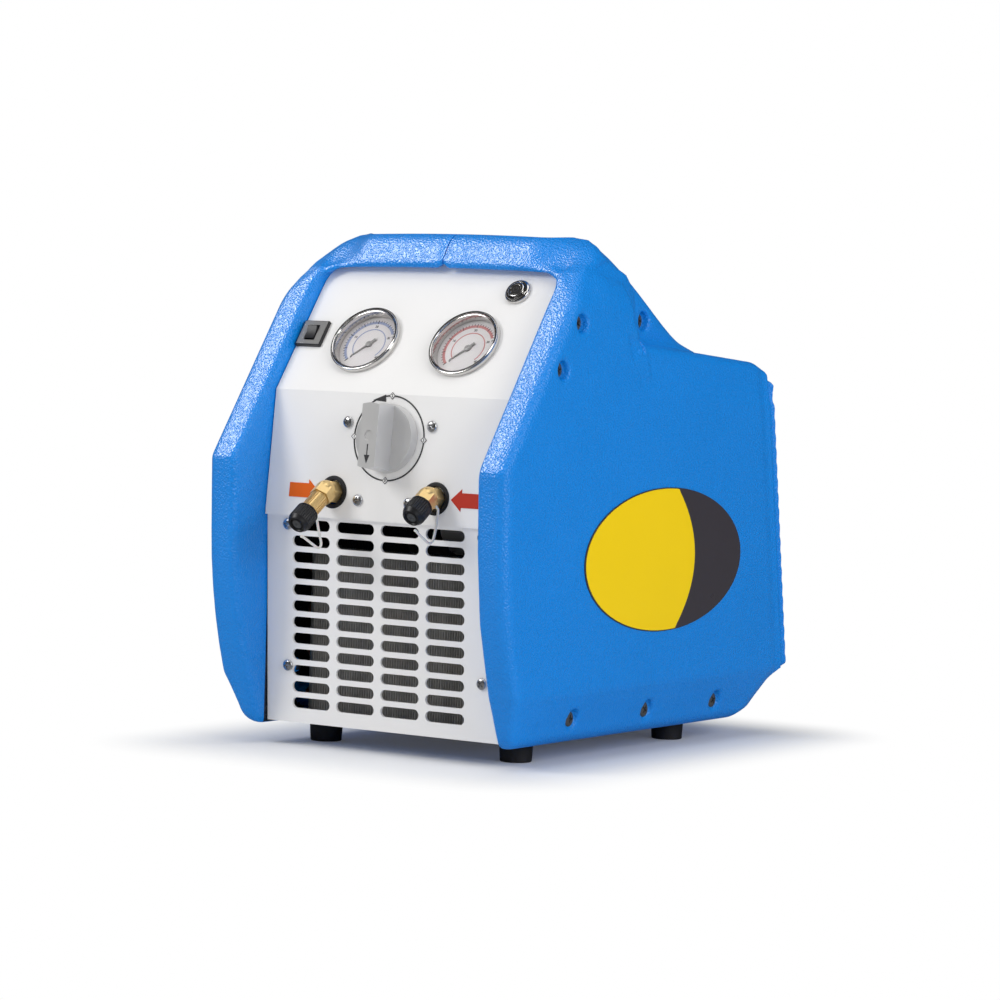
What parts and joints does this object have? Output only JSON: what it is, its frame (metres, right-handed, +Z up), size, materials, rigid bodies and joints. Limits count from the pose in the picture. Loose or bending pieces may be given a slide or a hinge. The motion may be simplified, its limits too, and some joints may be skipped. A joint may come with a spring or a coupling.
{
  "type": "refrigerant recovery machine",
  "caption": "Portable refrigerant recovery machine: moulded blue carrying hoop round a recessed panel with gauges, selector and ports, over a condenser, fan, motor and compressor.",
  "frame": {"origin": "middle of the footprint, on the floor under the feet", "axes": "+X to the right seen from the front, +Y to the rear, +Z up"},
  "size_m": [0.2516, 0.3961, 0.361],
  "materials": {
    "shell_plastic": "moulded pebble grain",
    "panel_paint": "satin silver white enamel",
    "rear_paint": "satin black enamel",
    "knob_plastic": "satin silver grey",
    "black_plastic": "moulded",
    "rocker_plastic": "glossy",
    "scale_print": "printed film",
    "pointer_grey": "dark grey",
    "stem_steel": "turned",
    "block_aluminium": "machined",
    "bezel_chrome": "polished",
    "dial_face": "printed",
    "needle_black": "black",
    "gauge_glass": "clear",
    "port_brass": "machined",
    "tether_white": "matte",
    "arrow_orange": "printed",
    "arrow_red": "printed",
    "screw_steel": "zinc plated",
    "badge_film": "printed film",
    "fin_aluminium": "bare",
    "copper": "bare copper",
    "motor_paint": "enamel",
    "cast_iron": "cast",
    "tray_steel": "powder coat",
    "foot_rubber": "matte",
    "capacitor_white": "glossy",
    "pin_brass": "plated"
  },
  "bodies": {
    "base": {"left_shell": "shell_plastic", "right_shell": "shell_plastic", "front_panel": "panel_paint", "grille_panel": "panel_paint", "rear_panel": "rear_paint", "breaker_frame": "black_plastic", "grip_pocket": "black_plastic", "power_inlet": "black_plastic", "dial_ring": "scale_print", "valve_block": "block_aluminium", "motor_end_bells": "block_aluminium", "cylinder_heads": "block_aluminium", "low_gauge_case": "bezel_chrome", "high_gauge_case": "bezel_chrome", "start_collar": "bezel_chrome", "breaker_plate": "bezel_chrome", "low_gauge_dial": "dial_face", "high_gauge_dial": "dial_face", "low_gauge_lens": "gauge_glass", "high_gauge_lens": "gauge_glass", "inlet_fitting": "port_brass", "outlet_fitting": "port_brass", "pressure_switch": "port_brass", "inlet_tether": "tether_white", "outlet_tether": "tether_white", "inlet_arrow": "arrow_orange", "outlet_arrow": "arrow_red", "panel_screws": "screw_steel", "shell_screws": "screw_steel", "fan_guard": "screw_steel", "side_badges": "badge_film", "condenser_fins": "fin_aluminium", "condenser_ends": "fin_aluminium", "condenser_coil": "copper", "refrigerant_pipes": "copper", "motor_case": "motor_paint", "crankcase": "cast_iron", "base_tray": "tray_steel", "feet": "foot_rubber", "port_grommets": "foot_rubber", "run_capacitor": "capacitor_white", "inlet_pins": "pin_brass"},
    "selector": {"selector_knob": "knob_plastic", "knob_pointer": "pointer_grey", "valve_stem": "stem_steel"},
    "low_needle": {"low_gauge_needle": "needle_black"},
    "high_needle": {"high_gauge_needle": "needle_black"},
    "start_plunger": {"start_button": "bezel_chrome"},
    "rocker": {"breaker_rocker": "rocker_plastic"},
    "rotor": {"cooling_fan": "black_plastic", "motor_shaft": "stem_steel"},
    "inlet_cap_body": {"inlet_cap": "black_plastic"},
    "outlet_cap_body": {"outlet_cap": "black_plastic"}
  },
  "joints": [
    {"name": "selector_turn", "type": "hinge", "parent": "base", "child": "selector", "pos_m": [0, -0.14804, 0.21879], "axis": [0, 0.9945, -0.1045], "range_deg": [0, 270]},
    {"name": "low_needle_swing", "type": "hinge", "parent": "base", "child": "low_needle", "pos_m": [-0.0418, -0.11971, 0.284], "axis": [0, 0.8121, -0.5835], "range_deg": [0, 270]},
    {"name": "high_needle_swing", "type": "hinge", "parent": "base", "child": "high_needle", "pos_m": [0.0418, -0.11971, 0.284], "axis": [0, 0.8121, -0.5835], "range_deg": [0, 270]},
    {"name": "start_press", "type": "slide", "parent": "base", "child": "start_plunger", "axis": [0, 0.8121, -0.5835], "range_m": [0, 0.0025], "stiffness_N_per_m": 400, "springref_m": -0.001},
    {"name": "breaker_toggle", "type": "hinge", "parent": "base", "child": "rocker", "pos_m": [-0.0892, -0.11744, 0.28717], "axis": [1, 0, 0], "range_deg": [-16, 0]},
    {"name": "rotor_spin", "type": "hinge", "parent": "base", "child": "rotor", "pos_m": [0, 0, 0.09], "axis": [0, 1, 0], "continuous": true},
    {"name": "inlet_cap_pull", "type": "slide", "parent": "base", "child": "inlet_cap_body", "axis": [0, -0.8241, -0.5664], "range_m": [0, 0.06]},
    {"name": "outlet_cap_pull", "type": "slide", "parent": "base", "child": "outlet_cap_body", "axis": [0, -0.8241, -0.5664], "range_m": [0, 0.06]}
  ]
}
